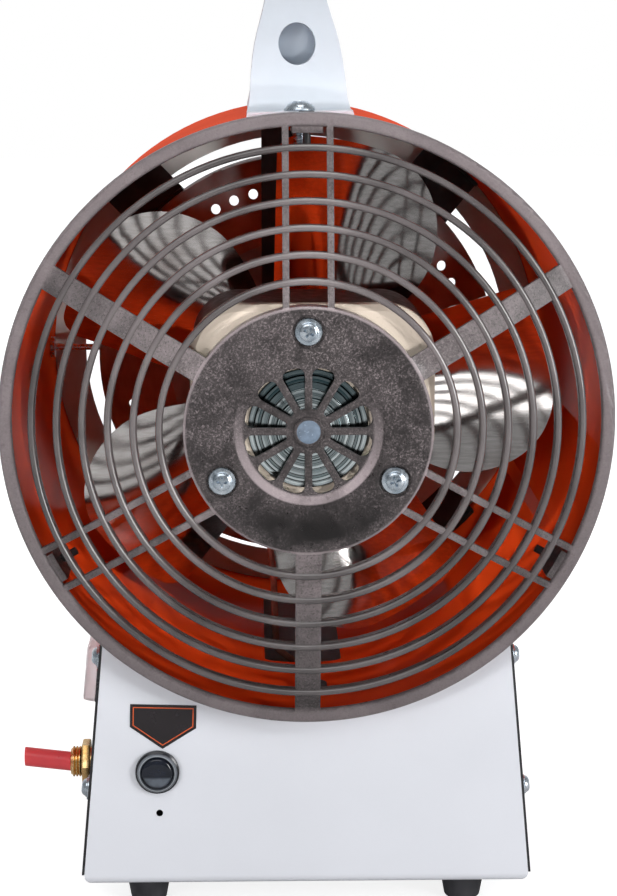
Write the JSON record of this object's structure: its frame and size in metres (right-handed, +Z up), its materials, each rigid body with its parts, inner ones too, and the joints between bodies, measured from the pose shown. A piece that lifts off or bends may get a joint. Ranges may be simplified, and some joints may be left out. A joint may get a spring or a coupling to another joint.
{
  "type": "forced air heater",
  "caption": "Portable gas heater: a steel tube with a guarded fan at the rear and a combustion cone inside, on a folded sheet base with a carrying handle on top.",
  "frame": {"origin": "on the floor, under the middle of the heater", "axes": "+X to the right seen from the fan guard, +Y forward along the tube to the hot end, +Z up"},
  "size_m": [0.2404, 0.2573, 0.3852],
  "materials": {
    "black_enamel": "black satin enamel",
    "black_plastic": "black plastic",
    "black_screw": "black oxide",
    "brass": "turned brass",
    "bronze": "sintered bronze",
    "ceramic": "glazed ceramic",
    "clear_cover": "clear soft plastic hood",
    "copper": "bare copper",
    "core_steel": "laminated steel",
    "fan_aluminium": "polished sheet",
    "foot_rubber": "moulded rubber",
    "galvanised": "galvanised sheet",
    "guard_nylon": "dark grey glass-filled nylon, fine texture",
    "handle_plastic": "white moulded plastic, satin",
    "heat_steel": "heat-tinted steel",
    "lead_black": "black lead",
    "lead_silicone": "silicone lead",
    "light_enamel": "light grey satin enamel",
    "motor_plastic": "cream moulded housing",
    "orange_enamel": "glossy orange enamel",
    "red_plastic": "red plastic",
    "zinc": "bright zinc"
  },
  "bodies": {
    "heater": {"base_channel": "light_enamel", "burner_bracket": "galvanised", "burner_head": "heat_steel", "cable_gland": "black_plastic", "carry_handle": "handle_plastic", "casing_tube": "orange_enamel", "chamber_brackets": "black_screw", "combustion_cone": "heat_steel", "cover_rails": "galvanised", "cover_washers": "zinc", "feet_nuts": "zinc", "feet_screws": "zinc", "flame_disc": "heat_steel", "flame_probe": "zinc", "gas_inlet_fitting": "brass", "gas_nozzle": "brass", "gas_pipe": "copper", "gas_valve": "brass", "gland_nut": "black_plastic", "guard_screws": "black_screw", "handle_bolts": "zinc", "handle_nuts": "zinc", "igniter_bezel": "black_plastic", "igniter_body": "black_plastic", "igniter_nut": "black_plastic", "ignition_electrode": "ceramic", "ignition_lead": "lead_silicone", "lead_grommet": "foot_rubber", "left_side_cover": "black_enamel", "motor_bushes": "bronze", "motor_end_cap": "zinc", "motor_front_cover": "motor_plastic", "motor_housing": "motor_plastic", "motor_lead": "lead_black", "motor_screws": "zinc", "motor_stator": "core_steel", "motor_windings": "copper", "overheat_thermostat": "black_plastic", "rear_guard": "guard_nylon", "right_side_cover": "black_enamel", "rubber_feet": "foot_rubber", "side_cover_screws": "zinc", "switch_body": "black_plastic", "switch_cover": "clear_cover", "terminal_block": "black_plastic", "valve_foot": "galvanised"},
    "fan": {"fan_impeller": "fan_aluminium", "fan_nut": "zinc", "motor_shaft": "core_steel", "motor_rotor": "core_steel"},
    "button": {"igniter_button": "black_plastic"},
    "rocker": {"switch_rocker": "red_plastic"},
    "plug": {"inlet_plug": "red_plastic"}
  },
  "joints": [
    {"name": "fan_spin", "type": "hinge", "parent": "heater", "child": "fan", "pos_m": [0, 0, 0.205], "axis": [0, 1, 0], "continuous": true},
    {"name": "button_push", "type": "slide", "parent": "heater", "child": "button", "axis": [0, 1, 0], "range_m": [0, 0.004], "stiffness_N_per_m": 1500, "springref_m": -0.001},
    {"name": "rocker_tilt", "type": "hinge", "parent": "heater", "child": "rocker", "pos_m": [-0.08516, -0.043, 0.09131], "axis": [0, 1, 0], "range_deg": [0, 14]},
    {"name": "plug_pull", "type": "slide", "parent": "heater", "child": "plug", "axis": [-1, 0, 0], "range_m": [0, 0.014]}
  ]
}
